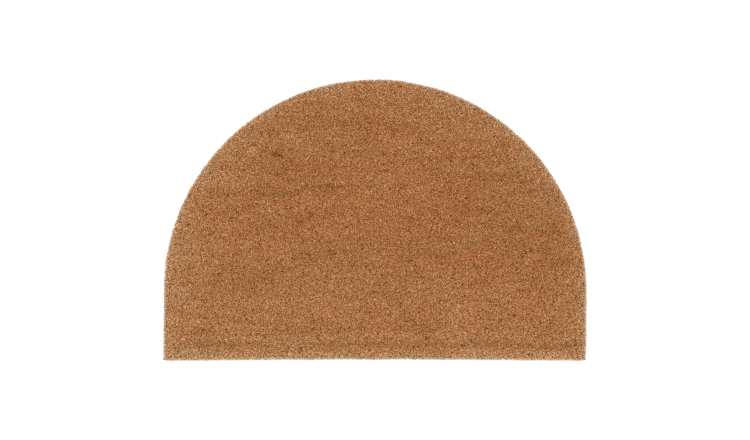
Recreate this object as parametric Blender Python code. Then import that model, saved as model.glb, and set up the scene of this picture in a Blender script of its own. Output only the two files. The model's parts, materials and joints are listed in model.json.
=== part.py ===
"""Half-moon coir doormat: cut coir bristles standing on a vinyl backing sheet.

The mat lies flat on Z = 0 with its straight base edge towards -Y, its arc towards +Y and its
pile up. The origin is under the middle of the box around it. Units are metres.
"""

import math
from typing import NamedTuple

import bmesh
import bpy
from mathutils import Vector
from mathutils.geometry import delaunay_2d_cdt

# Driving sizes of the mat
MAT_WIDTH = 0.600
MAT_DEPTH = 0.400
MAT_THICKNESS = 0.015
BACKING_THICKNESS = 0.002
CORNER_RADIUS = 0.002
PIECE_GAP = 0.0003

# Places that follow from them
HALF_WIDTH = MAT_WIDTH / 2
ARC_RADIUS = MAT_WIDTH / 2
BASE_Y = -MAT_DEPTH / 2
ARC_CENTRE_Y = MAT_DEPTH / 2 - ARC_RADIUS
SIDE_LENGTH = ARC_CENTRE_Y - BASE_Y
PILE_FOOT_Z = BACKING_THICKNESS + PIECE_GAP

# Unevenness of a mat cut and trimmed by hand
BASE_BOW = 0.0018
SIDE_LEAN = 0.0008
EDGE_DEPTH = 0.0006
LUMP_DEPTH = 0.0009

# Spacing of points round the rim and over the crown, and steps along each stretch of the rim
RIM_STEP = 0.008
CROWN_STEP = 0.011
CROWN_MARGIN = 0.014
BASE_STEPS = round(MAT_WIDTH / RIM_STEP)
SIDE_STEPS = round(SIDE_LENGTH / RIM_STEP)
ARC_STEPS = round(math.pi * ARC_RADIUS / RIM_STEP)
CORNER_STEPS = 3


class Wave(NamedTuple):
    """One ripple over the plan: its length, the way it runs and where it starts."""

    length: float
    degrees: float
    phase: float


# Ripples that push the cut outline in and out
EDGE_WAVES = (
    Wave(length=0.230, degrees=15, phase=0.4),
    Wave(length=0.097, degrees=70, phase=2.6),
    Wave(length=0.051, degrees=-40, phase=4.1),
    Wave(length=0.029, degrees=35, phase=1.3),
)

# Lumps of the crown, which are longer along the tufting rows than across them
LUMP_WAVES = (
    Wave(length=0.046, degrees=83, phase=0.9),
    Wave(length=0.071, degrees=104, phase=3.7),
    Wave(length=0.038, degrees=61, phase=5.2),
    Wave(length=0.120, degrees=12, phase=2.2),
)


class RimRing(NamedTuple):
    """One ring of the pile's rim: how far in from the outline, and how high up the pile."""

    inset: float
    rise: float


# The rim's bristles lean out from the foot, and the shears round their tips over
RIM_RINGS = (
    RimRing(inset=0.0032, rise=0.00),
    RimRing(inset=0.0014, rise=0.36),
    RimRing(inset=0.0002, rise=0.68),
    RimRing(inset=0.0003, rise=0.84),
    RimRing(inset=0.0016, rise=0.945),
    RimRing(inset=0.0042, rise=0.985),
    RimRing(inset=0.0085, rise=1.00),
)
BACKING_INSET = RIM_RINGS[0].inset


class Finish(NamedTuple):
    """Colour and surface of one material."""

    name: str
    colour: tuple
    roughness: float


COIR = Finish("coir", (0.386, 0.168, 0.067, 1.0), 0.85)
VINYL = Finish("vinyl", (0.045, 0.034, 0.028, 1.0), 0.55)


def clear_scene():
    """Remove every object that is in the scene."""
    for thing in list(bpy.data.objects):
        bpy.data.objects.remove(thing, do_unlink=True)


def make_material(finish):
    """Make the Principled material of a finish."""
    material = bpy.data.materials.new(finish.name)
    material.use_nodes = True
    shader = material.node_tree.nodes["Principled BSDF"]
    shader.inputs["Base Color"].default_value = finish.colour
    shader.inputs["Roughness"].default_value = finish.roughness
    shader.inputs["Metallic"].default_value = 0.0
    return material


def straight_run(start, end, steps):
    """Points from start up to, but not at, end."""
    return [Vector(start).lerp(end, i / steps) for i in range(steps)]


def round_run(centre, radius, first_degrees, last_degrees, steps):
    """Points along an arc, anticlockwise, up to but not at its last angle."""
    points = []
    for i in range(steps):
        angle = math.radians(first_degrees + (last_degrees - first_degrees) * i / steps)
        points.append(Vector(centre) + radius * Vector((math.cos(angle), math.sin(angle))))
    return points


def half_moon(inset):
    """The mat's outline drawn in by inset, anticlockwise from the left end of its base edge."""
    half, radius = HALF_WIDTH - inset, ARC_RADIUS - inset
    base, corner = BASE_Y + inset, CORNER_RADIUS
    right, left = half - corner, corner - half
    return (
        straight_run((left, base), (right, base), BASE_STEPS)
        + round_run((right, base + corner), corner, -90, 0, CORNER_STEPS)
        + straight_run((half, base + corner), (half, ARC_CENTRE_Y), SIDE_STEPS)
        + round_run((0.0, ARC_CENTRE_Y), radius, 0, 180, ARC_STEPS)
        + straight_run((-half, ARC_CENTRE_Y), (-half, base + corner), SIDE_STEPS)
        + round_run((left, base + corner), corner, 180, 270, CORNER_STEPS)
    )


def is_inside(x, y, inset):
    """Whether a point lies in the half moon drawn in by inset."""
    beyond = max(y - ARC_CENTRE_Y, 0.0)
    return (
        y > BASE_Y + inset
        and abs(x) < HALF_WIDTH - inset
        and math.hypot(x, beyond) < ARC_RADIUS - inset
    )


def swell(x, y, waves):
    """The mean of several ripples at a point, from -1 to 1."""
    total = 0.0
    for wave in waves:
        angle = math.radians(wave.degrees)
        along = x * math.cos(angle) + y * math.sin(angle)
        total += math.sin(math.tau * along / wave.length + wave.phase)
    return total / len(waves)


def as_cut(point):
    """Where a point of the drawn plan lies on the real, unevenly cut mat."""
    x, y = point
    low = min(max((ARC_CENTRE_Y - y) / SIDE_LENGTH, 0.0), 1.0) ** 2
    bow = BASE_BOW * (1.0 - (x / HALF_WIDTH) ** 2)
    return (
        x - SIDE_LEAN * low + EDGE_DEPTH * swell(x, y, EDGE_WAVES),
        y + bow * low + EDGE_DEPTH * swell(y, x, EDGE_WAVES),
    )


def crown_height(x, y):
    """Height of the pile's trimmed tips over the floor, never above the mat's thickness."""
    return MAT_THICKNESS - LUMP_DEPTH * (0.5 - 0.5 * swell(x, y, LUMP_WAVES))


def add_ring(solid, inset, height):
    """Add the vertices of one ring of the outline, at the height that a function gives."""
    places = [as_cut(point) for point in half_moon(inset)]
    return [solid.verts.new((x, y, height(x, y))) for x, y in places]


def join_rings(solid, lower, upper):
    """Join two rings with a band of quads that face outwards."""
    for i, corner in enumerate(lower):
        j = (i + 1) % len(lower)
        solid.faces.new((corner, lower[j], upper[j], upper[i]))


def crown_points():
    """Staggered rows of points over the crown, clear of the rim."""
    points = []
    row_step = CROWN_STEP * math.sqrt(3) / 2
    rows = int(MAT_DEPTH / row_step)
    columns = int(MAT_WIDTH / CROWN_STEP)
    for row in range(rows + 1):
        y = BASE_Y + (row + 0.5) * row_step
        for column in range(columns + 1):
            x = (column - columns / 2 + 0.5 * (row % 2)) * CROWN_STEP
            if is_inside(x, y, CROWN_MARGIN):
                points.append((x, y))
    return points


def fill_crown(solid, ring):
    """Close the top of the pile with a lumpy triangle net inside its last ring."""
    inner = []
    for point in crown_points():
        x, y = as_cut(point)
        inner.append(solid.verts.new((x, y, crown_height(x, y))))
    net = ring + inner
    loop = [(i, (i + 1) % len(ring)) for i in range(len(ring))]
    plan = [vertex.co.xy for vertex in net]
    _, _, faces, sources, _, _ = delaunay_2d_cdt(plan, loop, [], 1, 1e-7)
    for face in faces:
        solid.faces.new([net[sources[corner][0]] for corner in face])


def pile_solid():
    """The brush of bristles as one solid, with a splayed rim and a lumpy crown."""
    solid = bmesh.new()
    rings = []
    for ring in RIM_RINGS:

        def height(x, y, rise=ring.rise):
            return PILE_FOOT_Z + rise * (crown_height(x, y) - PILE_FOOT_Z)

        rings.append(add_ring(solid, ring.inset, height))
    solid.faces.new(reversed(rings[0]))
    for lower, upper in zip(rings, rings[1:]):
        join_rings(solid, lower, upper)
    fill_crown(solid, rings[-1])
    return solid


def backing_solid():
    """The flat vinyl sheet under the pile, cut in line with the foot of its bristles."""
    solid = bmesh.new()
    lower = add_ring(solid, BACKING_INSET, lambda x, y: 0.0)
    upper = add_ring(solid, BACKING_INSET, lambda x, y: BACKING_THICKNESS)
    solid.faces.new(reversed(lower))
    join_rings(solid, lower, upper)
    solid.faces.new(upper)
    return solid


def add_piece(name, solid, finish):
    """Put a finished solid in the scene as a named object with its material."""
    bmesh.ops.recalc_face_normals(solid, faces=solid.faces)
    mesh = bpy.data.meshes.new(name)
    solid.to_mesh(mesh)
    solid.free()
    mesh.materials.append(make_material(finish))
    piece = bpy.data.objects.new(name, mesh)
    bpy.context.scene.collection.objects.link(piece)
    return piece


def main():
    """Build the mat."""
    clear_scene()
    add_piece("backing", backing_solid(), VINYL)
    add_piece("coir_pile", pile_solid(), COIR)


main()
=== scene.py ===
"""Looks of the half-moon coir doormat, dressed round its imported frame.

The mat lies flat on Z = 0 with its straight base edge towards -Y and its arc towards +Y. The
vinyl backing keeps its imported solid. The pile's solid gives way to a bed of matted fibre that
carries tufts of trimmed bristles, short locks that bend over among their tips, and a splayed
brush round the cut edge. All sizes are in metres, and everything random is seeded.
"""

from __future__ import annotations

import json
import logging
import math
from dataclasses import dataclass, field, replace
from enum import Enum

import bpy
import numpy as np
from bpy.types import Material, Mesh, Node, NodeSocket, NodeTree, Object
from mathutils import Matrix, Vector
from mathutils.bvhtree import BVHTree
from numpy.random import Generator, default_rng

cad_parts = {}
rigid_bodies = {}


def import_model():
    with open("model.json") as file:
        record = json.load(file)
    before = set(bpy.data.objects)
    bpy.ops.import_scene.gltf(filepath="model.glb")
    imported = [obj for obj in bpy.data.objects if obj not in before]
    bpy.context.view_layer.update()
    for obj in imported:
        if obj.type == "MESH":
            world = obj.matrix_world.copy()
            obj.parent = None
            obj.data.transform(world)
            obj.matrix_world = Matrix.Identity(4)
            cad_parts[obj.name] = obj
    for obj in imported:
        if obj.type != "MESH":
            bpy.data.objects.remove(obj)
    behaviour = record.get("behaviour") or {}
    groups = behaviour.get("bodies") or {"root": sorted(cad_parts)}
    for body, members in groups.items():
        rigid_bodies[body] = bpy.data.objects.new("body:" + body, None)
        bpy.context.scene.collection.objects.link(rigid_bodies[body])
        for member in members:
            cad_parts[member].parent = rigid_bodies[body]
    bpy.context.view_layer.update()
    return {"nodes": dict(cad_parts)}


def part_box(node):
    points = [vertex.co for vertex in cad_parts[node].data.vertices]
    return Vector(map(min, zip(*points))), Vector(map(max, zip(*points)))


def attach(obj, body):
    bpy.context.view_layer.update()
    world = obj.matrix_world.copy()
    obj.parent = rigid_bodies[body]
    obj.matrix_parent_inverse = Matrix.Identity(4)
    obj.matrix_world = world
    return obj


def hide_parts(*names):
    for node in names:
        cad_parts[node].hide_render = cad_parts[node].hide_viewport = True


BODY = "root"
X_AXIS, Y_AXIS, Z_AXIS = np.eye(3)
# Number of faces round a bristle
SIDES = 3
# Upward part of a bristle's heading over which its rings are laid out from X and not from Z
STEEP = 0.7
PALETTE_MAP = "OFBake"
# How far apart a face's corners lie on that map, and how much of its rim stays free
MAP_NUDGE = 0.004
MAP_MARGIN = 0.01

log = logging.getLogger("doormat")


class Shape(Enum):
    """Forms of a bristle, whose root is always a point."""

    PEG = "cut off at its tip"
    LOCK = "pointed at its tip too"


def unit(vectors: np.ndarray) -> np.ndarray:
    """Scale each row to length one."""
    return vectors / np.maximum(np.linalg.norm(vectors, axis=-1, keepdims=True), 1e-12)


def deselect_all() -> None:
    """Leave object mode with nothing selected."""
    if bpy.context.object is not None and bpy.context.object.mode != "OBJECT":
        bpy.ops.object.mode_set(mode="OBJECT")
    bpy.ops.object.select_all(action="DESELECT")


def make_active(thing: Object) -> None:
    """Select one object alone and make it the active one.

    Args:
        thing: The object to work on.
    """
    deselect_all()
    thing.select_set(True)
    bpy.context.view_layer.objects.active = thing


def vertex_places(mesh: Mesh) -> np.ndarray:
    """Read the places of a mesh's vertices.

    Args:
        mesh: The mesh to read.

    Returns:
        Rows of X, Y and Z.
    """
    places = np.empty(len(mesh.vertices) * 3)
    mesh.vertices.foreach_get("co", places)
    return places.reshape(-1, 3)


@dataclass(frozen=True)
class Ripple:
    """Smooth seeded unevenness over the plan of the mat.

    Attributes:
        breadth: Size of one swell along X and along Y.
        seed: Seed of the lattice behind the swells.
        lattice: Number of lattice points a side, past which the pattern repeats.
    """

    breadth: tuple[float, float]
    seed: int
    lattice: int = 512

    def at(self, places: np.ndarray) -> np.ndarray:
        """Read the unevenness.

        Args:
            places: Rows of X and Y.

        Returns:
            A value from -1 to 1 for each place.
        """
        values = default_rng(self.seed).uniform(-1, 1, (self.lattice,) * 2)
        steps = places[:, :2] / np.array(self.breadth) + self.lattice / 2
        low = np.floor(steps).astype(int)
        blend = steps - low
        blend = blend * blend * (3 - 2 * blend)
        x, y = (low % self.lattice).T
        next_x, next_y = ((low + 1) % self.lattice).T
        near = values[x, y] * (1 - blend[:, 0]) + values[next_x, y] * blend[:, 0]
        far = values[x, next_y] * (1 - blend[:, 0]) + values[next_x, next_y] * blend[:, 0]
        return near * (1 - blend[:, 1]) + far * blend[:, 1]


@dataclass
class MatPlan:
    """Where the mat's cut line and crown lie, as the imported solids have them.

    Attributes:
        cut_line: Corners of the backing's outline, anticlockwise, as rows of X and Y.
        crown: Search tree over the surface of the pile's solid.
        foot_z: Height of the underside of the pile.
        crown_z: Height of the highest point of the pile.
        splay: How far the pile stands out past the backing.
        batch: Number of places measured to the line at a time.
        clearance: How far over the crown the search for its height starts.
    """

    cut_line: np.ndarray
    crown: BVHTree
    foot_z: float
    crown_z: float
    splay: float
    batch: int = 4000
    clearance: float = 0.01

    @classmethod
    def from_frame(cls, nodes: dict[str, Object]) -> MatPlan:
        """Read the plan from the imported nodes.

        Args:
            nodes: The frame's objects by node name.

        Returns:
            The plan of the mat.
        """
        backing_low, backing_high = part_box("backing")
        pile_low, pile_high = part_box("coir_pile")
        rounded = np.round(vertex_places(nodes["backing"].data)[:, :2], decimals=6)
        corners = np.unique(rounded, axis=0)
        turn = np.arctan2(corners[:, 1], corners[:, 0])
        mesh = nodes["coir_pile"].data
        crown = BVHTree.FromPolygons(
            [v.co for v in mesh.vertices], [tuple(p.vertices) for p in mesh.polygons]
        )
        return cls(
            cut_line=corners[np.argsort(turn)],
            crown=crown,
            foot_z=pile_low.z,
            crown_z=pile_high.z,
            splay=((pile_high.x - pile_low.x) - (backing_high.x - backing_low.x)) / 2,
        )

    def edge_of(self, places: np.ndarray) -> tuple[np.ndarray, np.ndarray]:
        """Measure how places lie to the cut line.

        Args:
            places: Rows of X and Y.

        Returns:
            Each place's distance inside the line, negative outside it, and the outward
            direction of the line nearest to it.
        """
        start = self.cut_line
        run = np.roll(start, -1, axis=0) - start
        length = np.linalg.norm(run, axis=1)
        along = run / length[:, None]
        outward = np.stack([along[:, 1], -along[:, 0]], axis=1)
        inset, nearest = [], []
        for part in np.array_split(places, max(1, len(places) // self.batch)):
            gap = part[:, None, :] - start[None]
            travel = np.clip((gap * along).sum(-1), 0, length)
            apart = np.linalg.norm(gap - travel[..., None] * along, axis=-1)
            best = apart.argmin(1)
            rows = np.arange(len(part))
            side = -np.sign((gap[rows, best] * outward[best]).sum(-1))
            inset.append(side * apart[rows, best])
            nearest.append(outward[best])
        return np.concatenate(inset), np.concatenate(nearest)

    def held_in(self, places: np.ndarray, trim: float) -> np.ndarray:
        """Move places that lie outside the pile back to its widest line.

        Args:
            places: Rows of X and Y.
            trim: How far inside the widest line they may lie.

        Returns:
            The places, with those outside moved straight in.
        """
        inset, outward = self.edge_of(places)
        over = np.maximum(-inset - (self.splay - trim), 0)
        return places - outward * over[:, None]

    def walk(
        self, spacing: float, inset: float, soften: float = 0.003
    ) -> tuple[np.ndarray, np.ndarray]:
        """Step round the mat inside its cut line.

        Args:
            spacing: Distance from one step to the next.
            inset: How far inside the cut line the steps lie.
            soften: Length over which the outward direction turns at a corner.

        Returns:
            The places, and the outward direction at each.
        """
        loop = np.vstack([self.cut_line, self.cut_line[:1]])
        reach = np.concatenate([[0], np.cumsum(np.linalg.norm(np.diff(loop, axis=0), axis=1))])
        count = round(reach[-1] / spacing)
        stops = np.arange(count) * (reach[-1] / count)

        def along(distance: np.ndarray) -> np.ndarray:
            """Places on the loop at these distances from its start."""
            distance = distance % reach[-1]
            return np.stack([np.interp(distance, reach, loop[:, i]) for i in (0, 1)], axis=1)

        heading = unit(along(stops + soften) - along(stops - soften))
        outward = np.stack([heading[:, 1], -heading[:, 0]], axis=1)
        return along(stops) - outward * inset, outward

    def crown_at(self, places: np.ndarray) -> np.ndarray:
        """Find the height of the pile's solid.

        Args:
            places: Rows of X and Y.

        Returns:
            The height over each place, or that of the highest point beside the solid.
        """
        down, top = Vector((0, 0, -1)), self.crown_z + self.clearance
        heights = []
        for x, y in places:
            hit = self.crown.ray_cast(Vector((x, y, top)), down)[0]
            heights.append(self.crown_z if hit is None else hit.z)
        return np.array(heights)


@dataclass(frozen=True)
class Patch:
    """One patch or broken row of tufts whose colour stands out a little.

    Attributes:
        x: Middle of the patch along X.
        y: Middle of the patch along Y.
        reach: Half of its length along X.
        breadth: Half of its breadth along Y.
        tone: Tone that it adds.
        hue: Hue that it adds.
        wander: How far it strays from a straight row.
    """

    x: float
    y: float
    reach: float
    breadth: float
    tone: float = 0.0
    hue: float = 0.0
    wander: float = 0.0012

    def share_at(self, places: np.ndarray, stray: np.ndarray) -> np.ndarray:
        """Work out how much of the patch each place has.

        Args:
            places: Rows of X and Y.
            stray: Which way a row strays at each place, from -1 to 1.

        Returns:
            A share from 1 in the middle of the patch to 0 well away from it.
        """
        across = places[:, 1] - self.y + stray * self.wander
        away = ((places[:, 0] - self.x) / self.reach) ** 4 + (across / self.breadth) ** 2
        return np.exp(-away)


@dataclass(frozen=True)
class CoirShade:
    """Where a piece of coir lies on the palette, by its place on the mat.

    Tone runs from dark umber at 0 to pale straw at 1, and hue from greyed and bleached at 0 to
    red-brown at 1.

    Attributes:
        tone_swings: Size of each unevenness of the tone, and its ripple.
        hue_swings: The same for the hue.
        rim_painted_light: Painted light that the less shaded cut edge adds to the tone, and how far
            in each part reaches.
        rim_hue: What the cut edge adds to the hue.
        rim_breadth: How far in that reaches.
        wander_ripple: Which way the patches stray.
        patches: What stands out, by its middle, half length, half breadth, tone and hue.
    """

    tone: float = 0.493
    hue: float = 0.63
    tone_swings: tuple[tuple[float, Ripple], ...] = (
        (0.022, Ripple((0.090, 0.040), 11)),
        (0.024, Ripple((0.030, 0.0045), 12)),
        (0.020, Ripple((0.070, 0.0080), 13)),
        (0.018, Ripple((0.010, 0.0080), 15)),
    )
    hue_swings: tuple[tuple[float, Ripple], ...] = (
        (0.07, Ripple((0.100, 0.060), 14)),
        (0.13, Ripple((0.036, 0.0080), 16)),
        (0.06, Ripple((0.014, 0.0120), 17)),
    )
    rim_painted_light: tuple[tuple[float, float], ...] = ((0.07, 0.003), (0.10, 0.012))
    rim_hue: float = -0.33
    rim_breadth: float = 0.024
    wander_ripple: Ripple = Ripple((0.060, 1.0), 18)
    patches: tuple[Patch, ...] = (
        # Rows of darker and paler tufts along the base
        Patch(0.000, -0.1775, 0.330, 0.0032, tone=-0.050, hue=-0.08, wander=0.004),
        Patch(-0.218, -0.1785, 0.072, 0.0030, tone=-0.045, hue=-0.06, wander=0.004),
        Patch(-0.069, -0.1765, 0.032, 0.0030, tone=0.025, hue=-0.08, wander=0.004),
        Patch(0.050, -0.1745, 0.037, 0.0030, tone=0.015, hue=-0.06, wander=0.004),
        Patch(0.242, -0.1780, 0.058, 0.0030, tone=-0.050, hue=-0.06, wander=0.004),
        Patch(0.000, -0.1680, 0.330, 0.0060, tone=0.060, wander=0.004),
        Patch(-0.249, -0.1590, 0.018, 0.0034, tone=-0.135, hue=-0.06),
        Patch(0.017, -0.1560, 0.064, 0.0026, tone=-0.055, hue=-0.04, wander=0.004),
        # Paler and greyer along the base edge: painted light that adds to that of the cut edge
        Patch(0.000, -0.1940, 0.330, 0.0110, tone=0.035, hue=-0.10),
        Patch(0.000, -0.1990, 0.330, 0.0045, tone=0.030),
        Patch(-0.125, -0.1880, 0.028, 0.0060, tone=-0.035),
        Patch(-0.050, -0.1880, 0.030, 0.0060, tone=-0.030),
        Patch(0.025, -0.1880, 0.022, 0.0060, tone=0.035),
        Patch(0.124, -0.1880, 0.022, 0.0060, tone=0.060),
        Patch(0.223, -0.1880, 0.022, 0.0060, tone=0.060),
        # Dark streaks and knots
        Patch(-0.062, 0.0475, 0.031, 0.0030, tone=-0.125, hue=-0.18),
        Patch(-0.147, 0.0360, 0.040, 0.0028, tone=-0.115, hue=-0.16),
        Patch(-0.140, 0.0930, 0.009, 0.0040, tone=-0.200),
        Patch(0.111, 0.0403, 0.019, 0.0034, tone=-0.105, hue=-0.26),
        Patch(0.178, -0.0118, 0.048, 0.0034, tone=-0.030, hue=-0.16),
        Patch(0.157, 0.0885, 0.026, 0.0036, tone=-0.070, hue=-0.08),
        Patch(0.202, 0.0546, 0.016, 0.0036, tone=-0.030, hue=-0.08),
        Patch(0.078, -0.0490, 0.037, 0.0045, tone=-0.038, hue=-0.06),
        Patch(0.014, 0.0925, 0.005, 0.0030, tone=-0.180),
        Patch(0.028, 0.1256, 0.005, 0.0030, tone=-0.180),
        Patch(-0.107, -0.0024, 0.005, 0.0032, tone=-0.160),
        Patch(-0.062, -0.0474, 0.007, 0.0040, tone=-0.175, hue=-0.12),
        Patch(-0.175, 0.0972, 0.006, 0.0055, tone=0.155),
        Patch(0.076, 0.0972, 0.006, 0.0040, tone=0.080),
        # Broad fields of slightly other fibre
        Patch(-0.115, 0.0770, 0.085, 0.0080, tone=-0.026),
        Patch(0.240, -0.0730, 0.040, 0.0140, tone=-0.030),
        Patch(0.000, 0.0220, 0.135, 0.0400, hue=0.07),
        Patch(0.010, 0.1250, 0.034, 0.0110, hue=0.20),
        Patch(0.130, -0.0560, 0.060, 0.0060, hue=0.15),
        Patch(-0.005, 0.1690, 0.055, 0.0120, tone=0.012, hue=-0.16),
        Patch(-0.130, -0.1100, 0.170, 0.0600, tone=0.012, hue=-0.07),
        Patch(-0.290, -0.0600, 0.046, 0.1300, tone=0.042, hue=-0.04),
        Patch(-0.212, 0.0560, 0.036, 0.0300, tone=0.060, hue=-0.06),
        Patch(0.000, -0.1300, 0.330, 0.0360, tone=0.028),
        Patch(0.180, -0.1320, 0.090, 0.0400, tone=0.022),
        Patch(0.215, -0.0160, 0.080, 0.0300, tone=-0.030),
        Patch(-0.100, 0.0780, 0.050, 0.0260, tone=-0.042),
        Patch(-0.090, 0.0050, 0.150, 0.0800, tone=0.010),
        Patch(-0.040, 0.1500, 0.090, 0.0260, tone=0.010),
        Patch(0.174, 0.1420, 0.030, 0.0160, tone=-0.035),
        Patch(0.025, 0.1080, 0.030, 0.0140, tone=0.034),
        Patch(0.045, 0.0400, 0.050, 0.0160, tone=0.022),
        Patch(0.270, 0.0060, 0.024, 0.0160, tone=-0.030),
        Patch(-0.240, -0.1380, 0.030, 0.0200, tone=0.028),
        Patch(-0.230, -0.0600, 0.030, 0.0300, tone=0.022),
        Patch(-0.075, -0.0630, 0.022, 0.0140, tone=0.024),
        Patch(-0.025, -0.0970, 0.024, 0.0140, tone=0.024),
        Patch(0.000, 0.0760, 0.060, 0.0300, hue=-0.09),
        Patch(0.075, -0.1300, 0.030, 0.0180, hue=-0.08),
        Patch(0.075, -0.1640, 0.028, 0.0240, tone=-0.042),
        Patch(-0.282, -0.1880, 0.030, 0.0120, tone=0.030, hue=-0.12),
        Patch(0.080, -0.0540, 0.034, 0.0050, tone=-0.025),
        Patch(0.176, 0.0400, 0.028, 0.0160, tone=-0.035),
        Patch(-0.025, -0.0600, 0.026, 0.0160, tone=-0.020),
        Patch(0.174, -0.0620, 0.026, 0.0160, tone=-0.028),
        Patch(0.128, 0.0040, 0.048, 0.0280, tone=0.015, hue=0.13),
    )

    def at(self, places: np.ndarray, inset: np.ndarray) -> tuple[np.ndarray, np.ndarray]:
        """Read the shade of the pile.

        Args:
            places: Rows of X and Y.
            inset: Each place's distance inside the cut line.

        Returns:
            The tone and the hue of each place, before its own bristle's part is added.
        """
        inset = np.maximum(inset, 0)
        hue = self.hue + self.rim_hue * np.exp(-inset / self.rim_breadth)
        tone = np.full(len(places), self.tone)
        # Painted light: the tone is raised towards the cut edge, whose splayed bristles are less
        # shaded
        for size, breadth in self.rim_painted_light:
            tone = tone + size * np.exp(-inset / breadth)
        for size, ripple in self.tone_swings:
            tone = tone + size * ripple.at(places)
        for size, ripple in self.hue_swings:
            hue = hue + size * ripple.at(places)
        stray = self.wander_ripple.at(places)
        for patch in self.patches:
            share = patch.share_at(places, stray)
            tone = tone + patch.tone * share
            hue = hue + patch.hue * share
        return tone, hue


@dataclass
class Bristles:
    """Many bristles of one kind, each a run of rings from its root to its tip.

    Attributes:
        spine: Centres of the rings, for each bristle and ring.
        radius: Radius of each ring.
        spin: Turn of each bristle about itself, in radians.
        tone: Tone of each ring on the palette.
        hue: Hue of each bristle on the palette.
        shape: Form of the bristles.
        level_cut: Whether the rings lie level, as shears leave them, or across the bristle.
        cut_tilt: Random tilt of a level cut, as a slope.
    """

    spine: np.ndarray
    radius: np.ndarray
    spin: np.ndarray
    tone: np.ndarray
    hue: np.ndarray
    shape: Shape = Shape.PEG
    level_cut: bool = False
    cut_tilt: float = 0.0

    def __len__(self) -> int:
        """Number of bristles."""
        return len(self.spine)

    def rows(self) -> dict[str, np.ndarray]:
        """Name the arrays that have a row for each bristle."""
        return {name: getattr(self, name) for name in ("spine", "radius", "spin", "tone", "hue")}

    def part(self, chosen: np.ndarray) -> Bristles:
        """Pick the bristles that have these numbers."""
        return replace(self, **{name: row[chosen] for name, row in self.rows().items()})

    @staticmethod
    def together(lots: list[Bristles]) -> Bristles:
        """Join lots of bristles of one form.

        Args:
            lots: The lots, in order.

        Returns:
            One lot of all of them.
        """
        rows = [lot.rows() for lot in lots]
        joined = {name: np.concatenate([row[name] for row in rows]) for name in rows[0]}
        return replace(lots[0], **joined)

    def rings(self, rng: Generator) -> np.ndarray:
        """Work out the corners of each ring.

        Args:
            rng: Source of the cuts' tilts.

        Returns:
            Places by bristle, ring, corner and axis.
        """
        if self.level_cut:
            across = np.broadcast_to(X_AXIS, self.spine.shape)
            beside = np.broadcast_to(Y_AXIS, self.spine.shape)
        else:
            ahead = unit(np.gradient(self.spine, axis=1))
            upright = np.abs(ahead[..., 2:]) > STEEP
            across = unit(np.cross(np.where(upright, X_AXIS, Z_AXIS), ahead))
            beside = np.cross(ahead, across)
        angle = self.spin[:, None] + np.arange(SIDES) * math.tau / SIDES
        cos, sin = np.cos(angle)[:, None, :, None], np.sin(angle)[:, None, :, None]
        arms = cos * across[:, :, None, :] + sin * beside[:, :, None, :]
        arms = arms * self.radius[:, :, None, None]
        if self.cut_tilt:
            slope = rng.normal(0, self.cut_tilt, (len(self), 2))
            arms[:, -1, :, 2] += (arms[:, -1, :, :2] * slope[:, None]).sum(-1)
        return self.spine[:, :, None, :] + arms

    def corners_and_faces(self, rng: Generator) -> tuple[np.ndarray, np.ndarray, np.ndarray]:
        """Lay out the joined mesh of all the bristles.

        Args:
            rng: Source of the cuts' tilts.

        Returns:
            The vertices, the triangles, and each vertex's place on the palette.
        """
        rings = self.rings(rng)
        count, steps = rings.shape[:2]
        hue = np.broadcast_to(self.hue[:, None], self.tone.shape)
        nudge = MAP_NUDGE * np.array([[0, 0], [1, 0], [0, 1]])
        spot = np.stack([self.tone, hue], axis=-1)[:, :, None, :] + nudge
        pointed = self.shape is Shape.LOCK
        last = steps - 1 if pointed else steps
        points = np.concatenate([self.spine[:, :1], rings[:, 1:last].reshape(count, -1, 3)], axis=1)
        spots = np.concatenate([spot[:, 0, :1], spot[:, 1:last].reshape(count, -1, 2)], axis=1)
        around = [(i, (i + 1) % SIDES) for i in range(SIDES)]
        faces = [(0, 1 + j, 1 + i) for i, j in around]
        top = 1 + (last - 2) * SIDES
        for low in range(1, top, SIDES):
            for i, j in around:
                faces.append((low + i, low + j, low + SIDES + j))
                faces.append((low + i, low + SIDES + j, low + SIDES + i))
        if pointed:
            points = np.concatenate([points, self.spine[:, -1:]], axis=1)
            spots = np.concatenate([spots, spot[:, -1, :1]], axis=1)
            faces += [(top + i, top + j, top + SIDES) for i, j in around]
        else:
            faces.append((top, top + 1, top + 2))
        first = np.arange(count)[:, None, None] * points.shape[1]
        triangles = (first + np.array(faces)).reshape(-1, 3)
        spots = np.clip(spots.reshape(-1, 2), MAP_MARGIN, 1 - MAP_MARGIN)
        return points.reshape(-1, 3), triangles, spots

    def to_object(self, name: str, smooth: bool, seed: int) -> Object:
        """Join the bristles into one object.

        Args:
            name: Name of the object.
            smooth: Whether the bristles are shaded round.
            seed: Seed of the cuts' tilts.

        Returns:
            The object, with its palette map.
        """
        points, triangles, spots = self.corners_and_faces(default_rng(seed))
        mesh = bpy.data.meshes.new(name)
        mesh.vertices.add(len(points))
        mesh.vertices.foreach_set("co", points.ravel())
        mesh.loops.add(triangles.size)
        mesh.loops.foreach_set("vertex_index", triangles.ravel())
        mesh.polygons.add(len(triangles))
        mesh.polygons.foreach_set("loop_start", np.arange(len(triangles)) * 3)
        mesh.polygons.foreach_set("use_smooth", np.full(len(triangles), smooth))
        layer = mesh.uv_layers.new(name=PALETTE_MAP)
        layer.uv.foreach_set("vector", spots[triangles.ravel()].astype(np.float32).ravel())
        mesh.update(calc_edges=True)
        thing = bpy.data.objects.new(name, mesh)
        bpy.context.scene.collection.objects.link(thing)
        return thing


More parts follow.
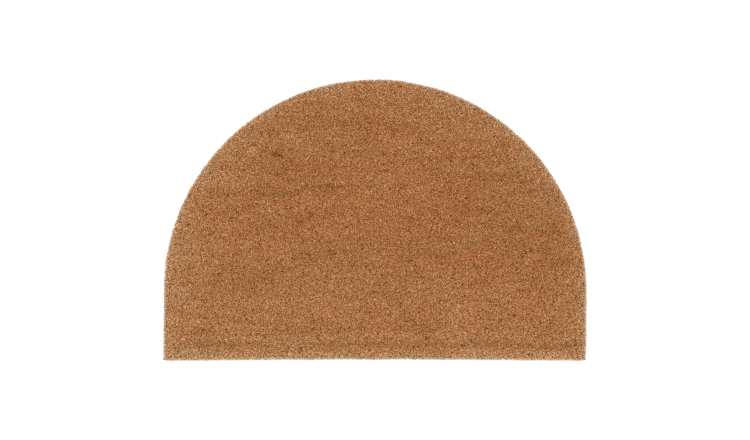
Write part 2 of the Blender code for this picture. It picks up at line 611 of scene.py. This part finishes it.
class Nodes:
    """Short ways to add and join shader nodes in one tree."""

    def __init__(self, tree: NodeTree) -> None:
        """Work in a tree."""
        self.tree = tree

    def add(self, kind: str, **values: object) -> Node:
        """Add a node.

        Args:
            kind: The node's type without its ShaderNode prefix.
            **values: Properties of the node to set.

        Returns:
            The new node.
        """
        node = self.tree.nodes.new("ShaderNode" + kind)
        for name, value in values.items():
            setattr(node, name, value)
        return node

    def join(self, source: NodeSocket, target: NodeSocket) -> None:
        """Link one socket to another."""
        self.tree.links.new(source, target)

    def math(self, operation: str, first: object, second: object) -> NodeSocket:
        """Add a Math node.

        Args:
            operation: The node's operation.
            first: A socket or a number.
            second: A socket or a number.

        Returns:
            The node's result.
        """
        node = self.add("Math", operation=operation)
        for socket, value in zip(node.inputs, (first, second)):
            if isinstance(value, NodeSocket):
                self.join(value, socket)
            else:
                socket.default_value = value
        return node.outputs[0]

    def noise(self, place: NodeSocket, scale: float, detail: float = 2.0) -> NodeSocket:
        """Add a Noise texture.

        Args:
            place: Socket that gives the place to read it at.
            scale: Cells a metre.
            detail: Octaves of finer noise.

        Returns:
            The noise's value, which lies round a half.
        """
        node = self.add("TexNoise")
        node.inputs["Scale"].default_value = scale
        node.inputs["Detail"].default_value = detail
        self.join(place, node.inputs["Vector"])
        return node.outputs["Fac"]

    def bump(self, shader: Node, height: NodeSocket, distance: float) -> None:
        """Bump the surface of a shader.

        Args:
            shader: The shader.
            height: Socket of the height.
            distance: Depth of the bumps, in metres.
        """
        node = self.add("Bump")
        node.inputs["Distance"].default_value = distance
        self.join(height, node.inputs["Height"])
        self.join(node.outputs["Normal"], shader.inputs["Normal"])


@dataclass(frozen=True)
class Ramp:
    """Colours of coir from its darkest to its palest, each with its place on the ramp."""

    stops: tuple[tuple[float, tuple[float, float, float]], ...]

    def add_to(self, nodes: Nodes, tone: NodeSocket) -> NodeSocket:
        """Add the ramp to a tree.

        Args:
            nodes: The tree's nodes.
            tone: Socket that gives the place on the ramp.

        Returns:
            The colour socket.
        """
        node = nodes.add("ValToRGB")
        elements = node.color_ramp.elements
        while len(elements) < len(self.stops):
            elements.new(0.5)
        for element, (place, colour) in zip(elements, self.stops):
            element.position = place
            element.color = (*colour, 1.0)
        nodes.join(tone, node.inputs["Fac"])
        return node.outputs["Color"]


@dataclass(frozen=True)
class CoirPalette:
    """The shader group that turns a tone and a hue into the colour of coir."""

    bleached: Ramp = Ramp(
        (
            (0.00, (0.051, 0.0160, 0.0014)),
            (0.25, (0.216, 0.084, 0.0150)),
            (0.50, (0.474, 0.265, 0.116)),
            (0.75, (0.663, 0.470, 0.270)),
            (1.00, (0.785, 0.635, 0.425)),
        )
    )
    ruddy: Ramp = Ramp(
        (
            (0.00, (0.061, 0.0100, 0.0006)),
            (0.25, (0.236, 0.056, 0.0050)),
            (0.50, (0.500, 0.185, 0.059)),
            (0.75, (0.723, 0.366, 0.166)),
            (1.00, (0.845, 0.555, 0.325)),
        )
    )

    def group(self) -> NodeTree:
        """Find the palette's node group, or build it the first time.

        Returns:
            The group, which has the inputs Tone and Hue and the output Color.
        """
        name = "coir_palette"
        if name in bpy.data.node_groups:
            return bpy.data.node_groups[name]
        tree = bpy.data.node_groups.new(name, "ShaderNodeTree")
        tree.interface.new_socket("Tone", in_out="INPUT", socket_type="NodeSocketFloat")
        tree.interface.new_socket("Hue", in_out="INPUT", socket_type="NodeSocketFloat")
        tree.interface.new_socket("Color", in_out="OUTPUT", socket_type="NodeSocketColor")
        nodes = Nodes(tree)
        source = tree.nodes.new("NodeGroupInput")
        result = tree.nodes.new("NodeGroupOutput")
        mix = nodes.add("Mix", data_type="RGBA")
        nodes.join(source.outputs["Hue"], mix.inputs["Factor"])
        nodes.join(self.bleached.add_to(nodes, source.outputs["Tone"]), mix.inputs["A"])
        nodes.join(self.ruddy.add_to(nodes, source.outputs["Tone"]), mix.inputs["B"])
        nodes.join(mix.outputs["Result"], result.inputs["Color"])
        return tree

    def place(self, nodes: Nodes, tone: NodeSocket, hue: NodeSocket) -> NodeSocket:
        """Put the palette in a material.

        Args:
            nodes: The material's nodes.
            tone: Socket of the tone.
            hue: Socket of the hue.

        Returns:
            The colour socket.
        """
        node = nodes.add("Group", node_tree=self.group())
        nodes.join(tone, node.inputs["Tone"])
        nodes.join(hue, node.inputs["Hue"])
        return node.outputs["Color"]


def new_material(name: str, roughness: float, specular: float) -> tuple[Material, Nodes, Node]:
    """Start a Principled material.

    Args:
        name: Name of the material.
        roughness: Roughness of its surface.
        specular: Specular level of its surface.

    Returns:
        The material, its nodes and its shader.
    """
    material = bpy.data.materials.new(name)
    material.use_nodes = True
    shader = material.node_tree.nodes["Principled BSDF"]
    shader.inputs["Roughness"].default_value = roughness
    shader.inputs["Specular IOR Level"].default_value = specular
    return material, Nodes(material.node_tree), shader


@dataclass(frozen=True)
class BristleFinish:
    """Finish of cut bristles, whose colour is read from their own palette map."""

    name: str = "coir_bristle"
    roughness: float = 0.85
    specular: float = 0.03
    palette: CoirPalette = CoirPalette()

    def material(self) -> Material:
        """Build the material.

        Returns:
            The material.
        """
        material, nodes, shader = new_material(self.name, self.roughness, self.specular)
        place = nodes.add("UVMap", uv_map=PALETTE_MAP)
        split = nodes.add("SeparateXYZ")
        nodes.join(place.outputs["UV"], split.inputs["Vector"])
        colour = self.palette.place(nodes, split.outputs["X"], split.outputs["Y"])
        nodes.join(colour, shader.inputs["Base Color"])
        return material


@dataclass(frozen=True)
class BedFinish:
    """Finish of the matted fibre deep in the pile.

    Attributes:
        tone: Darkest tone of the fibre, set low: its own colour darkened by painted shade, as it
            lies deep in the pile.
        tone_swing: What the noise of fibres, times that of clumps, adds to it.
        hue: Lowest hue of the fibre.
        hue_swing: What a broad noise adds to it.
    """

    name: str = "coir_bed"
    roughness: float = 0.85
    specular: float = 0.03
    tone: float = 0.15
    tone_swing: float = 1.0
    fibre_scale: float = 900.0
    clump_scale: float = 260.0
    hue: float = 0.50
    hue_swing: float = 0.50
    hue_scale: float = 12.0
    bump: float = 0.0006
    palette: CoirPalette = CoirPalette()

    def material(self) -> Material:
        """Build the material.

        Returns:
            The material.
        """
        material, nodes, shader = new_material(self.name, self.roughness, self.specular)
        place = nodes.add("TexCoord").outputs["Object"]
        fibres = nodes.noise(place, self.fibre_scale, detail=3.0)
        clumps = nodes.noise(place, self.clump_scale)
        mixed = nodes.math("MULTIPLY", fibres, clumps)
        swing = nodes.math("MULTIPLY", mixed, self.tone_swing)
        # Painted shade: the deep fibre's tone starts lower than that of the tips above it
        tone = nodes.math("ADD", swing, self.tone)
        drift = nodes.math("MULTIPLY", nodes.noise(place, self.hue_scale), self.hue_swing)
        hue = nodes.math("ADD", drift, self.hue)
        nodes.join(self.palette.place(nodes, tone, hue), shader.inputs["Base Color"])
        nodes.bump(shader, fibres, self.bump)
        return material


@dataclass(frozen=True)
class VinylFinish:
    """Finish of the plain vinyl sheet, with the fine pebble that its casting belt leaves."""

    name: str = "brown_vinyl"
    roughness: float = 0.55
    roughness_swing: float = 0.20
    specular: float = 0.40
    dark: tuple[float, float, float] = (0.030, 0.022, 0.017)
    light: tuple[float, float, float] = (0.062, 0.046, 0.036)
    cloud_span: tuple[float, float] = (0.3, 0.7)
    pebble_scale: float = 520.0
    cloud_scale: float = 22.0
    bump: float = 0.00025

    def material(self) -> Material:
        """Build the material.

        Returns:
            The material.
        """
        material, nodes, shader = new_material(self.name, self.roughness, self.specular)
        place = nodes.add("TexCoord").outputs["Object"]
        clouds = nodes.noise(place, self.cloud_scale, detail=4.0)
        shades = Ramp(tuple(zip(self.cloud_span, (self.dark, self.light))))
        nodes.join(shades.add_to(nodes, clouds), shader.inputs["Base Color"])
        pebble = nodes.add("TexVoronoi", feature="SMOOTH_F1")
        pebble.inputs["Scale"].default_value = self.pebble_scale
        nodes.join(place, pebble.inputs["Vector"])
        worn = nodes.math("MULTIPLY", clouds, self.roughness_swing)
        rough = nodes.math("ADD", worn, self.roughness - self.roughness_swing / 2)
        nodes.join(rough, shader.inputs["Roughness"])
        nodes.bump(shader, pebble.outputs["Distance"], self.bump)
        return material


def settle(piece: Object, material: Material) -> None:
    """Give a piece of coir its material and its body.

    Args:
        piece: The finished piece.
        material: Its material.
    """
    piece.data.materials.clear()
    piece.data.materials.append(material)
    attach(piece, BODY)
    log.info("%s: %d faces", piece.name, len(piece.data.polygons))


@dataclass
class Backing:
    """The vinyl sheet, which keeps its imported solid."""

    node: Object
    finish: VinylFinish = VinylFinish()

    def dress(self) -> None:
        """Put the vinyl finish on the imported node."""
        material = self.finish.material()
        if not self.node.material_slots:
            self.node.data.materials.append(material)
        for slot in self.node.material_slots:
            slot.material = material
        log.info("%s: dressed", self.node.name)


@dataclass
class PileBed:
    """The matted lower fibres, which show between the tufts.

    Attributes:
        node: The pile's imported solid, of which the bed is a copy.
        plan: Where the mat's cut line and crown lie.
        weld: Distance under which the solid's corners are one.
        drop: How far the bed's crown is sunk under the pile's.
        draw_in: How far its sides are drawn in behind the rim brush.
        draw_in_fade: Distance in from the pile's rim over which that fades.
        underside: Upward part of a face's normal up to which it lies on the flat underside.
        foot_height: Height over that underside up to which nothing is pushed.
        cuts: Number of cuts along each edge of the upper faces.
        lump_size: Breadth of a lump.
        lump_height: Height from the lowest to the highest lump.
        finish: Finish of the bed.
        piece: The bed, once it is built.
    """

    node: Object
    plan: MatPlan
    weld: float = 0.00002
    drop: float = 0.0032
    draw_in: float = 0.0042
    draw_in_fade: float = 0.012
    underside: float = -0.9
    foot_height: float = 0.0005
    cuts: int = 2
    lump_size: float = 0.0038
    lump_height: float = 0.0022
    finish: BedFinish = BedFinish()
    piece: Object | None = field(default=None, init=False)

    def build(self) -> None:
        """Model the bed from a copy of the pile's solid."""
        piece = bpy.data.objects.new("pile_bed", self.node.data.copy())
        bpy.context.scene.collection.objects.link(piece)
        make_active(piece)
        bpy.ops.object.mode_set(mode="EDIT")
        bpy.ops.mesh.select_all(action="SELECT")
        bpy.ops.mesh.remove_doubles(threshold=self.weld)
        bpy.ops.object.mode_set(mode="OBJECT")
        self.draw_in_sides(piece)
        self.roughen(piece)
        self.piece = piece

    def draw_in_sides(self, piece: Object) -> None:
        """Draw the bed's sides in behind the rim brush and sink its crown under the tips.

        Args:
            piece: The bed.
        """
        places = vertex_places(piece.data)
        inset, outward = self.plan.edge_of(places[:, :2])
        near = np.clip(1 - (inset + self.plan.splay) / self.draw_in_fade, 0, 1)[:, None]
        places[:, :2] -= outward * near * self.draw_in
        height = (places[:, 2] - self.plan.foot_z) / (self.plan.crown_z - self.plan.foot_z)
        places[:, 2] -= self.drop * np.clip(height, 0, 1)
        piece.data.vertices.foreach_set("co", places.ravel())
        piece.data.update()

    def roughen(self, piece: Object) -> None:
        """Cut the upper faces finer and push them into tuft-sized lumps.

        Args:
            piece: The bed.
        """
        bpy.ops.object.mode_set(mode="EDIT")
        bpy.ops.mesh.select_all(action="DESELECT")
        bpy.ops.object.mode_set(mode="OBJECT")
        for face in piece.data.polygons:
            face.select = face.normal.z > self.underside
        bpy.ops.object.mode_set(mode="EDIT")
        bpy.ops.mesh.subdivide(number_cuts=self.cuts)
        bpy.ops.object.mode_set(mode="OBJECT")
        raised = piece.vertex_groups.new(name="raised")
        places = vertex_places(piece.data)
        upper = np.nonzero(places[:, 2] > self.plan.foot_z + self.foot_height)[0]
        raised.add([int(i) for i in upper], 1.0, "REPLACE")
        lumps = bpy.data.textures.new("bed_lumps", "CLOUDS")
        lumps.noise_scale = self.lump_size
        lumps.noise_depth = 1
        push = piece.modifiers.new("lumps", "DISPLACE")
        push.texture = lumps
        push.texture_coords = "LOCAL"
        # The faces point outwards, and the dark parts of the clouds are the lumps
        push.strength = -self.lump_height
        push.mid_level = 0.5
        push.vertex_group = raised.name
        bpy.ops.object.modifier_apply(modifier=push.name)
        bpy.ops.object.shade_smooth()

    def dress(self) -> None:
        """Give the bed its finish."""
        settle(self.piece, self.finish.material())


@dataclass
class Brush:
    """A part of the pile that is made of separate bristles.

    Attributes:
        plan: Where the mat's cut line and crown lie.
        shade: Where the coir lies on the palette.
        material: Finish of the bristles.
        pieces: The objects, once they are built.
    """

    plan: MatPlan
    shade: CoirShade
    material: Material
    pieces: list[Object] = field(default_factory=list, init=False)

    def scatter(
        self, step: tuple[float, float], jitter: float, gap: float, rng: Generator
    ) -> tuple[np.ndarray, np.ndarray, np.ndarray]:
        """Lay out staggered and jittered places over the mat.

        Args:
            step: Distance between places along X, and between rows.
            jitter: How far a place strays, as a share of the step.
            gap: How far inside the cut line the outermost places lie.
            rng: Source of the jitter.

        Returns:
            Rows of X and Y, with the distance of each inside the line, and the outward
            direction of the line nearest to it.
        """
        low, high = self.plan.cut_line.min(0), self.plan.cut_line.max(0)
        columns, rows = np.ceil((high - low) / step).astype(int) + 1
        column, row = np.meshgrid(np.arange(columns), np.arange(rows))
        places = np.stack([column + (row % 2) / 2, row], axis=-1).reshape(-1, 2)
        places = low + (places + rng.uniform(-jitter, jitter, places.shape)) * step
        inset, outward = self.plan.edge_of(places)
        kept = inset > gap
        return places[kept], inset[kept], outward[kept]

    def join(self, bristles: Bristles, name: str, bands: int, smooth: bool) -> None:
        """Join bristles into one object for each band of the mat, from left to right.

        Args:
            bristles: The bristles to join.
            name: Name of the objects, before their number.
            bands: Number of objects.
            smooth: Whether the bristles are shaded round.
        """
        order = np.argsort(bristles.spine[:, 0, 0], kind="stable")
        for number, chosen in enumerate(np.array_split(order, bands), start=1):
            part = bristles.part(chosen)
            self.pieces.append(part.to_object(f"{name}_{number}", smooth, seed=number))

    def dress(self) -> None:
        """Give the pieces the bristle finish."""
        for piece in self.pieces:
            settle(piece, self.material)


@dataclass(frozen=True)
class OddStrands:
    """The few strands that stand out from their neighbours, nearly black or straw-pale.

    Attributes:
        seed: Where the draw of the odd ones starts.
        dark_share: Share of the strands that are dark.
        dark: Tone that those lose.
        pale_share: Share of the strands that are pale.
        pale: Tone that those gain.
    """

    seed: int
    dark_share: float = 0.065
    dark: float = 0.46
    pale_share: float = 0.030
    pale: float = 0.28

    def tones(self, count: int) -> np.ndarray:
        """Draw what each strand adds to its tone.

        Args:
            count: Number of strands.

        Returns:
            Nothing for most, and a large step down or up for the odd ones.
        """
        draw = default_rng(self.seed).uniform(size=count)
        return self.pale * (draw > 1 - self.pale_share) - self.dark * (draw < self.dark_share)


@dataclass
class TrimmedTips(Brush):
    """Tufts of bristles whose trimmed tips make the crown, in staggered rows along X.

    Attributes:
        step: Distance between tufts along X, and between rows.
        jitter: How far a tuft strays, as a share of the step.
        spread: Radius of the disc that a tuft's roots stand in.
        middle: Share of that disc that they leave free.
        root_depth: How far under its tip a bristle is rooted.
        lean: Slope at which a whole tuft leans, to which each bristle adds its own.
        rim_lean: Slope at which the tufts at the cut line lean out.
        rim_lean_fade: Distance in from the line over which that fades.
        overshoot: How far a tip may stand over the highest point of the solid.
        cut_tilt: Random tilt of the cut tips, as a slope.
        tuft_tone: Even swing of a tuft's tone.
        tuft_dark: Its longer swing to the dark, as own_dark is a bristle's.
        root_painted_shade: Painted shade: how much darker a root is than its tip, as it lies deep
            in the pile.
        rim_gap: How far inside the cut line the outermost tufts stand.
        rim_trim: How far inside the widest line of the pile their tips stay.
    """

    step: tuple[float, float] = (0.00280, 0.00260)
    jitter: float = 0.38
    bristles_a_tuft: int = 4
    spread: float = 0.00095
    middle: float = 0.05
    root_depth: float = 0.0062
    lean: float = 0.26
    own_lean: float = 0.12
    rim_lean: float = 0.30
    rim_lean_fade: float = 0.004
    height_swing: float = 0.00040
    own_height_swing: float = 0.00025
    overshoot: float = 0.0004
    radius: tuple[float, float] = (0.00042, 0.00068)
    cut_tilt: float = 0.30
    tuft_tone: float = 0.025
    tuft_dark: float = 0.045
    own_tone: float = 0.03
    own_dark: float = 0.02
    odd: OddStrands = OddStrands(seed=92)
    own_hue: float = 0.015
    root_painted_shade: float = 0.26
    rim_gap: float = 0.0012
    rim_trim: float = 0.0006
    seed: int = 21

    def bristles(self) -> Bristles:
        """Work out every bristle of the crown.

        Returns:
            The bristles of all the tufts.
        """
        rng = default_rng(self.seed)
        tufts, inset, outward = self.scatter(self.step, self.jitter, self.rim_gap, rng)
        crown = self.plan.crown_at(tufts)
        tone, hue = self.shade.at(tufts, inset)
        tone += rng.normal(0, self.tuft_tone, len(tufts))
        tone += self.tuft_dark * (1 - rng.exponential(1, len(tufts)))
        lean = rng.normal(0, self.lean, (len(tufts), 2))
        lean += outward * (self.rim_lean * np.exp(-inset / self.rim_lean_fade))[:, None]
        lift = rng.normal(0, self.height_swing, len(tufts))

        each = np.repeat(np.arange(len(tufts)), self.bristles_a_tuft)
        count = len(each)
        turn = rng.uniform(0, math.tau, count)
        away = self.spread * np.sqrt(rng.uniform(self.middle, 1, count))
        root = tufts[each] + away[:, None] * np.stack([np.cos(turn), np.sin(turn)], axis=1)
        slope = lean[each] + rng.normal(0, self.own_lean, (count, 2))
        top = crown[each] + lift[each] + rng.normal(0, self.own_height_swing, count)
        top = np.minimum(top, self.plan.crown_z + self.overshoot)
        tip = self.plan.held_in(root + slope * self.root_depth, self.rim_trim)
        root_z = crown[each] - self.root_depth
        tip_tone = tone[each] + rng.normal(0, self.own_tone, count)
        tip_tone += self.own_dark * (1 - rng.exponential(1, count)) + self.odd.tones(count)
        return Bristles(
            spine=np.stack([np.column_stack([root, root_z]), np.column_stack([tip, top])], axis=1),
            radius=rng.uniform(*self.radius, (count, 1)) * np.array([0.0, 1.0]),
            spin=rng.uniform(0, math.tau, count),
            # Painted shade: each root is darker than its tip, deep among the tufts
            tone=np.stack([tip_tone - self.root_painted_shade, tip_tone], axis=1),
            hue=hue[each] + rng.normal(0, self.own_hue, count),
            level_cut=True,
            cut_tilt=self.cut_tilt,
        )

    def build(self) -> list[Object]:
        """Join the bristles into a few broad bands."""
        self.join(self.bristles(), "trimmed_tips", bands=3, smooth=False)
        return self.pieces


@dataclass
class BentLocks(Brush):
    """Short locks of fibre that bend over among the tips and dive back into the pile.

    Attributes:
        step: Distance between locks along X, and between rows.
        jitter: How far a lock strays, as a share of the step.
        bend: Sideways bow of a lock, as a share of half its length.
        dip: Least and greatest depth of its ends under its middle.
        sink: How far under the crown its middle lies.
        own_tone: Even swing of its tone, to which own_dark adds a longer one to the dark.
        end_painted_shade: Painted shade: how much darker its ends are than its middle, as they dive
            into the pile.
        rim_gap: How far inside the cut line the outermost locks lie.
    """

    step: tuple[float, float] = (0.00190, 0.00180)
    jitter: float = 0.5
    length: tuple[float, float] = (0.0030, 0.0060)
    radius: tuple[float, float] = (0.00040, 0.00072)
    bend: float = 0.12
    dip: tuple[float, float] = (0.0010, 0.0028)
    sink: float = 0.0004
    height_swing: float = 0.00035
    own_tone: float = 0.045
    own_dark: float = 0.02
    odd: OddStrands = OddStrands(seed=93)
    own_hue: float = 0.015
    end_painted_shade: float = 0.10
    rim_gap: float = 0.0008
    seed: int = 41

    def bristles(self) -> Bristles:
        """Work out every lock.

        Returns:
            The locks.
        """
        rng = default_rng(self.seed)
        places, inset, _ = self.scatter(self.step, self.jitter, self.rim_gap, rng)
        count = len(places)
        middle = self.plan.crown_at(places) - self.sink + rng.normal(0, self.height_swing, count)
        middle = np.minimum(middle, self.plan.crown_z)
        turn = rng.uniform(0, math.tau, count)
        ahead = np.stack([np.cos(turn), np.sin(turn)], axis=1)
        beside = np.stack([-ahead[:, 1], ahead[:, 0]], axis=1)
        reach = ahead * rng.uniform(*self.length, (count, 1)) / 2
        half = np.linalg.norm(reach, axis=1, keepdims=True)
        bow = beside * half * rng.normal(0, self.bend, (count, 1))
        ends = [
            np.column_stack([places + side * reach - bow, middle - rng.uniform(*self.dip, count)])
            for side in (-1, 1)
        ]
        tone, hue = self.shade.at(places, inset)
        tone += rng.normal(0, self.own_tone, count)
        tone += self.own_dark * (1 - rng.exponential(1, count)) + self.odd.tones(count)
        return Bristles(
            spine=np.stack([ends[0], np.column_stack([places + bow, middle]), ends[1]], axis=1),
            radius=rng.uniform(*self.radius, (count, 1)) * np.array([0.0, 1.0, 0.0]),
            spin=rng.uniform(0, math.tau, count),
            # Painted shade: the ends, deep in the pile, are darker than the middle
            tone=tone[:, None] - self.end_painted_shade * np.array([1.0, 0.0, 1.0]),
            hue=hue + rng.normal(0, self.own_hue, count),
            shape=Shape.LOCK,
        )

    def build(self) -> list[Object]:
        """Join the locks into two halves."""
        self.join(self.bristles(), "bent_locks", bands=2, smooth=True)
        return self.pieces


@dataclass(frozen=True)
class RimRow:
    """One row of rim bristles.

    Attributes:
        inset: How far inside the cut line it is rooted.
        reach: How far its tips lean out.
        rise: Height of its tips, as a share of the pile's.
        tone: Tone that it adds, as the outer rows stand in the shade of the others.
        hue: Hue that it adds, which greys the outer rows the most.
    """

    inset: float
    reach: float
    rise: float
    tone: float = 0.0
    hue: float = 0.0


@dataclass
class RimBrush(Brush):
    """Full-length bristles round the cut edge, which lean out past the backing.

    Attributes:
        spacing: Distance between the roots of a row.
        rows: The rows, from the outermost in.
        corner: How the bristles stand that fan out into the two sharp corners of the base.
        corner_count: Number of bristles that fill each of those corners.
        foot_sink: How deep in the backing the bristles are rooted.
        belly_reach: Share of its lean that a bristle has made where it bends up.
        belly_rise: Share of its height at which it bends up.
        belly_painted_shade: Share of the root's painted shade that is left there.
        tip_taper: Radius of its tip, as a share of that at the bend.
        clump_reach: How much further the bristles of a clump lean out together.
        clump_sway: How far they lean along the edge together.
    """

    spacing: float = 0.00040
    rows: tuple[RimRow, ...] = (
        RimRow(inset=0.0004, reach=0.0030, rise=0.965, tone=-0.15, hue=-0.42),
        RimRow(inset=0.0011, reach=0.0026, rise=0.985, tone=-0.06, hue=-0.34),
        RimRow(inset=0.0019, reach=0.0020, rise=0.995, tone=0.02, hue=-0.18),
    )
    corner: RimRow = RimRow(inset=0.0022, reach=0.0032, rise=0.975, tone=-0.08, hue=-0.32)
    corner_count: int = 56
    radius: tuple[float, float] = (0.00019, 0.00030)
    side_sway: float = 0.0010
    root_swing: float = 0.00025
    reach_swing: float = 0.00026
    height_swing: float = 0.0006
    foot_sink: float = 0.0014
    belly_reach: float = 0.25
    belly_rise: float = 0.34
    belly_painted_shade: float = 0.60
    tip_taper: float = 0.9
    clump_reach: float = 0.0001
    clump_sway: float = 0.0010
    own_tone: float = 0.11
    own_hue: float = 0.025
    clump_tone: float = 0.06
    root_painted_shade: float = 0.26
    clumps: Ripple = Ripple((0.004, 0.004), 31)
    seed: int = 33

    def row(self, row: RimRow, rng: Generator) -> Bristles:
        """Work out one row of bristles.

        Args:
            row: Where the row stands and how far it leans.
            rng: Source of its unevenness.

        Returns:
            The bristles of the row.
        """
        root, outward = self.plan.walk(self.spacing, row.inset)
        count = len(root)
        root = root + rng.uniform(-self.root_swing, self.root_swing, (count, 1)) * outward
        sideways = np.stack([-outward[:, 1], outward[:, 0]], axis=1)
        clump = self.clumps.at(root)[:, None]
        reach = row.reach + rng.normal(0, self.reach_swing, (count, 1)) + self.clump_reach * clump
        sway = rng.normal(0, self.side_sway, (count, 1)) + self.clump_sway * clump
        return self.stand(root, root + outward * reach + sideways * sway, row, rng)

    def corner_fill(self, rng: Generator) -> Bristles:
        """Work out the bristles that fan out into the sharp corners of the base.

        Args:
            rng: Source of their unevenness.

        Returns:
            The bristles of both corners.
        """
        roots, tips = [], []
        for side in (-1.0, 1.0):
            out = np.array([side, -1.0])
            turn = self.plan.cut_line[(self.plan.cut_line @ out).argmax()]
            roots.append(turn - out * rng.uniform(0, self.corner.inset, (self.corner_count, 2)))
            tips.append(turn + out * rng.uniform(0, self.corner.reach, (self.corner_count, 2)))
        return self.stand(np.concatenate(roots), np.concatenate(tips), self.corner, rng)

    def stand(self, root: np.ndarray, tip: np.ndarray, row: RimRow, rng: Generator) -> Bristles:
        """Stand bristles on their roots.

        Args:
            root: Rows of X and Y of their roots.
            tip: Rows of X and Y of their tips.
            row: How high they rise and what colour they add.
            rng: Source of their unevenness.

        Returns:
            The bristles.
        """
        count = len(root)
        height = self.plan.crown_z - self.plan.foot_z
        top = self.plan.foot_z + height * row.rise + rng.normal(0, self.height_swing, count)
        top = np.minimum(top, self.plan.crown_z)
        foot = np.full(count, self.plan.foot_z - self.foot_sink)
        belly = root + (tip - root) * self.belly_reach
        belly_z = foot + (top - foot) * self.belly_rise
        rings = [np.column_stack(pair) for pair in ((root, foot), (belly, belly_z), (tip, top))]
        tone, hue = self.shade.at(root, np.zeros(count))
        clump = self.clump_tone * self.clumps.at(root)
        tone += row.tone + clump + rng.normal(0, self.own_tone, count)
        return Bristles(
            spine=np.stack(rings, axis=1),
            radius=rng.uniform(*self.radius, (count, 1)) * np.array([0.0, 1.0, self.tip_taper]),
            spin=rng.uniform(0, math.tau, count),
            # Painted shade: the root, low by the backing, is darker, and the bend keeps part of
            # that
            tone=tone[:, None] - self.root_painted_shade * np.array([1.0, self.belly_painted_shade, 0.0]),
            hue=hue + row.hue + rng.normal(0, self.own_hue, count),
        )

    def build(self) -> list[Object]:
        """Join the rows and the corners into one object.

        Returns:
            The object, in a list.
        """
        rng = default_rng(self.seed)
        lots = [self.row(row, rng) for row in self.rows] + [self.corner_fill(rng)]
        self.join(Bristles.together(lots), "rim_brush", bands=1, smooth=True)
        return self.pieces


@dataclass
class Studio:
    """The pale floor, the soft light and the camera straight above the mat.

    Attributes:
        view_width: Width that the picture covers at the widest line of the rim, in metres.
        camera_height: Height of the camera over the floor.
        rim_height: Height of the widest line of the rim.
        sensor: Width of the camera's sensor, in millimetres.
        floor_drop: How far the floor lies under the mat.
        key_size: Side of the square light.
        key_power: Its power, in watts.
    """

    view_width: float = 1.0669
    camera_height: float = 2.4
    rim_height: float = 0.0055
    sensor: float = 36.0
    floor_size: float = 60.0
    floor_drop: float = 0.0004
    floor_colour: tuple[float, float, float] = (0.92, 0.92, 0.92)
    floor_roughness: float = 0.9
    floor_specular: float = 0.1
    sky_strength: float = 1.09
    key_size: float = 1.6
    key_place: tuple[float, float, float] = (-0.3, 0.35, 3.4)
    key_power: float = 82.5

    def floor(self) -> None:
        """Lay the floor just under the mat."""
        deselect_all()
        bpy.ops.mesh.primitive_plane_add(size=self.floor_size, location=(0, 0, -self.floor_drop))
        floor = bpy.context.object
        floor.name = "floor"
        finish = (self.floor_roughness, self.floor_specular)
        material, _, shader = new_material("pale_floor", *finish)
        shader.inputs["Base Color"].default_value = (*self.floor_colour, 1.0)
        floor.data.materials.append(material)

    def light(self) -> None:
        """Hang one large soft light and light the room evenly."""
        lamp = bpy.data.lights.new("key", "AREA")
        lamp.shape = "SQUARE"
        lamp.size = self.key_size
        lamp.energy = self.key_power
        key = bpy.data.objects.new("key", lamp)
        key.location = self.key_place
        key.rotation_euler = Vector(self.key_place).to_track_quat("Z", "Y").to_euler()
        bpy.context.scene.collection.objects.link(key)
        world = bpy.data.worlds.new("studio")
        world.use_nodes = True
        sky = world.node_tree.nodes["Background"]
        sky.inputs["Color"].default_value = (1.0, 1.0, 1.0, 1.0)
        sky.inputs["Strength"].default_value = self.sky_strength
        bpy.context.scene.world = world

    def camera(self) -> None:
        """Set the camera straight above the mat, with the arc up in the picture."""
        lens = bpy.data.cameras.new("camera")
        lens.sensor_width = self.sensor
        lens.lens = self.sensor * (self.camera_height - self.rim_height) / self.view_width
        lens.clip_end = 100.0
        camera = bpy.data.objects.new("camera", lens)
        camera.location = (0.0, 0.0, self.camera_height)
        bpy.context.scene.collection.objects.link(camera)
        bpy.context.scene.camera = camera
        bpy.context.scene.view_settings.view_transform = "Standard"
        bpy.context.scene.view_settings.look = "None"
        bpy.context.scene.cycles.use_denoising = False

    def build(self) -> None:
        """Set up the whole studio."""
        self.floor()
        self.light()
        self.camera()


def clear_scene() -> None:
    """Remove everything that a new file starts with."""
    for thing in list(bpy.data.objects):
        bpy.data.objects.remove(thing, do_unlink=True)


def main() -> None:
    """Load the frame, build and dress each part of the mat, and set up the studio."""
    logging.basicConfig(level=logging.INFO, format="%(name)s: %(message)s")
    clear_scene()
    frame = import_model()
    nodes: dict[str, Object] = frame["nodes"]
    plan = MatPlan.from_frame(nodes)
    shade = CoirShade()
    bristle = BristleFinish().material()

    Backing(nodes["backing"]).dress()
    bed = PileBed(nodes["coir_pile"], plan)
    bed.build()
    bed.dress()
    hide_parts("coir_pile")
    brushes = [
        TrimmedTips(plan, shade, bristle),
        BentLocks(plan, shade, bristle),
        RimBrush(plan, shade, bristle),
    ]
    loose: list[Object] = []
    for brush in brushes:
        loose += brush.build()
        brush.dress()
    Studio().build()


if __name__ == "__main__":
    main()
